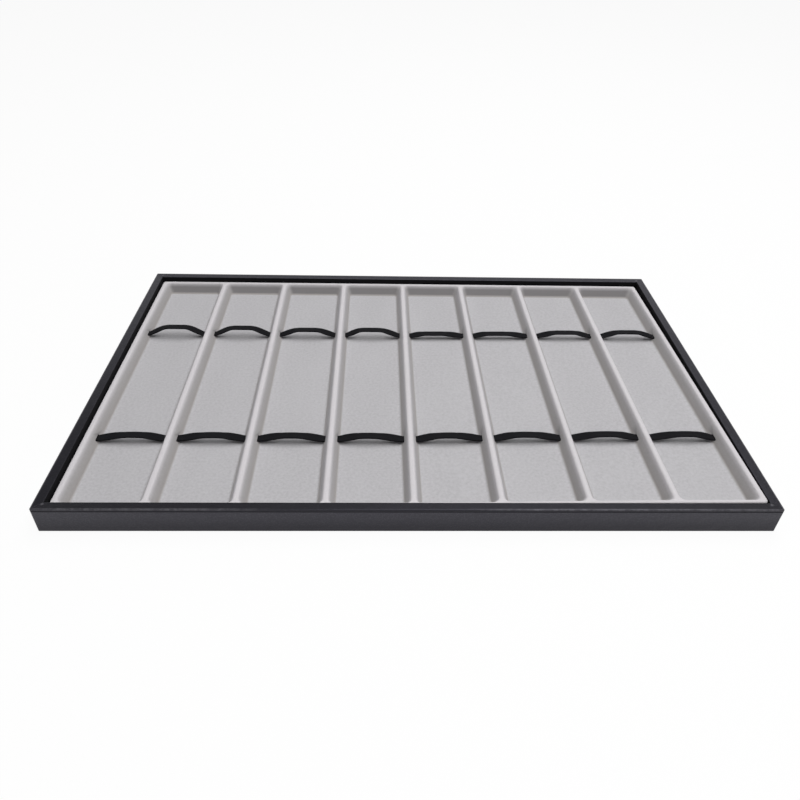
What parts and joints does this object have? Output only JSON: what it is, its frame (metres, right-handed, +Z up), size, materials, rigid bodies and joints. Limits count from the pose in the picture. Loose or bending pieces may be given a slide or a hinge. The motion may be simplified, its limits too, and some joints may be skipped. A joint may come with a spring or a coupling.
{
  "type": "watch tray",
  "caption": "Low rectangular display tray with a wrapped black rim and a grey flocked insert whose long side-by-side compartments each hold a watch under elastic bands.",
  "frame": {"origin": "middle of the underside, on the plane that the tray rests on", "axes": "+X along the tray's long side across the compartments, +Y along each compartment from front to back, +Z up out of the open top"},
  "size_m": [0.43, 0.28, 0.018],
  "materials": {
    "leatherette": "semi-matt fine-grained black imitation leather",
    "fibreboard": "raw medium-density fibreboard, hidden under the wrap",
    "felt": "thin black non-woven felt",
    "flock": "short light-grey velvet flock on a formed plastic sheet",
    "elastic": "flat woven black elastic"
  },
  "bodies": {
    "root": {"leatherette_wrap": "leatherette", "front_rail": "fibreboard", "rear_rail": "fibreboard", "left_rail": "fibreboard", "right_rail": "fibreboard", "base_panel": "fibreboard", "underside_liner": "felt", "flocked_insert": "flock", "elastic_band_front_1": "elastic", "elastic_band_front_2": "elastic", "elastic_band_front_3": "elastic", "elastic_band_front_4": "elastic", "elastic_band_front_5": "elastic", "elastic_band_front_6": "elastic", "elastic_band_front_7": "elastic", "elastic_band_front_8": "elastic", "elastic_band_rear_1": "elastic", "elastic_band_rear_2": "elastic", "elastic_band_rear_3": "elastic", "elastic_band_rear_4": "elastic", "elastic_band_rear_5": "elastic", "elastic_band_rear_6": "elastic", "elastic_band_rear_7": "elastic", "elastic_band_rear_8": "elastic"}
  },
  "joints": []
}
